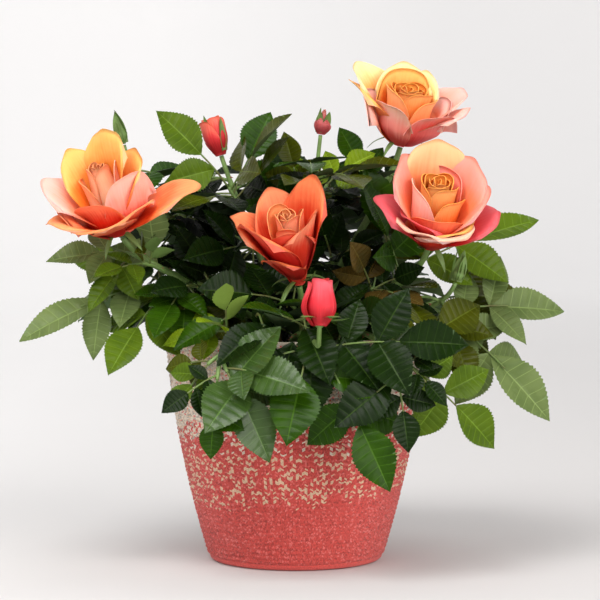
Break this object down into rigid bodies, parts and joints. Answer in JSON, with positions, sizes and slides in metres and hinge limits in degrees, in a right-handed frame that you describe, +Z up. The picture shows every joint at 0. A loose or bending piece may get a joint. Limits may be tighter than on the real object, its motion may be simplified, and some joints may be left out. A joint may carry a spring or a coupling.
{
  "type": "potted rose bush",
  "caption": "Small leafy rose bush with open cup-shaped blooms and buds on thin canes, growing from soil in a round woven basket pot.",
  "frame": {"origin": "centre of the pot's flat underside", "axes": "+Z up, +X to the viewer's right in the picture, -Y towards the viewer"},
  "size_m": [0.3099, 0.2515, 0.2841],
  "materials": {
    "woven_pot": "rough woven fibre, coral red below, flecked with cream in the middle, natural tan at the top",
    "soil": "rough dark potting soil",
    "cane": "smooth green stem, browner at the foot",
    "petal": "soft satin petal, orange and yellow inside, coral pink outside",
    "bud": "soft satin coral red petals in green sepals",
    "leaf": "glossy dark green leaf with paler veins and underside"
  },
  "bodies": {
    "root": {"basket_pot": "woven_pot", "soil": "soil", "left_bloom_cane": "cane", "middle_bloom_cane": "cane", "top_bloom_cane": "cane", "right_bloom_cane": "cane", "front_bud_cane": "cane", "front_left_cane": "cane", "front_right_cane": "cane", "red_bud_cane": "cane", "small_bud_cane": "cane", "left_bud_cane": "cane", "right_bud_cane": "cane", "back_left_cane": "cane", "back_cane": "cane", "back_right_cane": "cane", "left_bloom": "petal", "middle_bloom": "petal", "top_bloom": "petal", "right_bloom": "petal", "front_bud": "bud", "red_bud": "bud", "small_bud": "bud", "left_bud": "bud", "right_bud": "bud", "far_left_foliage": "leaf", "left_upper_foliage": "leaf", "left_under_foliage": "leaf", "left_front_foliage": "leaf", "left_inner_foliage": "leaf", "left_dark_foliage": "leaf", "top_left_foliage": "leaf", "top_middle_foliage": "leaf", "top_right_foliage": "leaf", "bright_foliage": "leaf", "dark_middle_foliage": "leaf", "right_upper_foliage": "leaf", "right_back_foliage": "leaf", "far_right_foliage": "leaf", "right_low_foliage": "leaf", "right_front_low_foliage": "leaf", "right_rim_foliage": "leaf", "front_right_foliage": "leaf", "front_middle_foliage": "leaf", "front_low_foliage": "leaf", "front_left_low_foliage": "leaf", "front_left_foliage": "leaf", "front_left_upper_foliage": "leaf", "left_rim_foliage": "leaf", "middle_left_foliage": "leaf", "middle_right_foliage": "leaf", "bronze_foliage": "leaf", "back_left_low_foliage": "leaf", "back_left_high_foliage": "leaf", "back_left_foliage": "leaf", "back_low_foliage": "leaf", "back_middle_foliage": "leaf", "back_high_foliage": "leaf", "back_right_low_foliage": "leaf", "back_right_high_foliage": "leaf"}
  },
  "joints": []
}
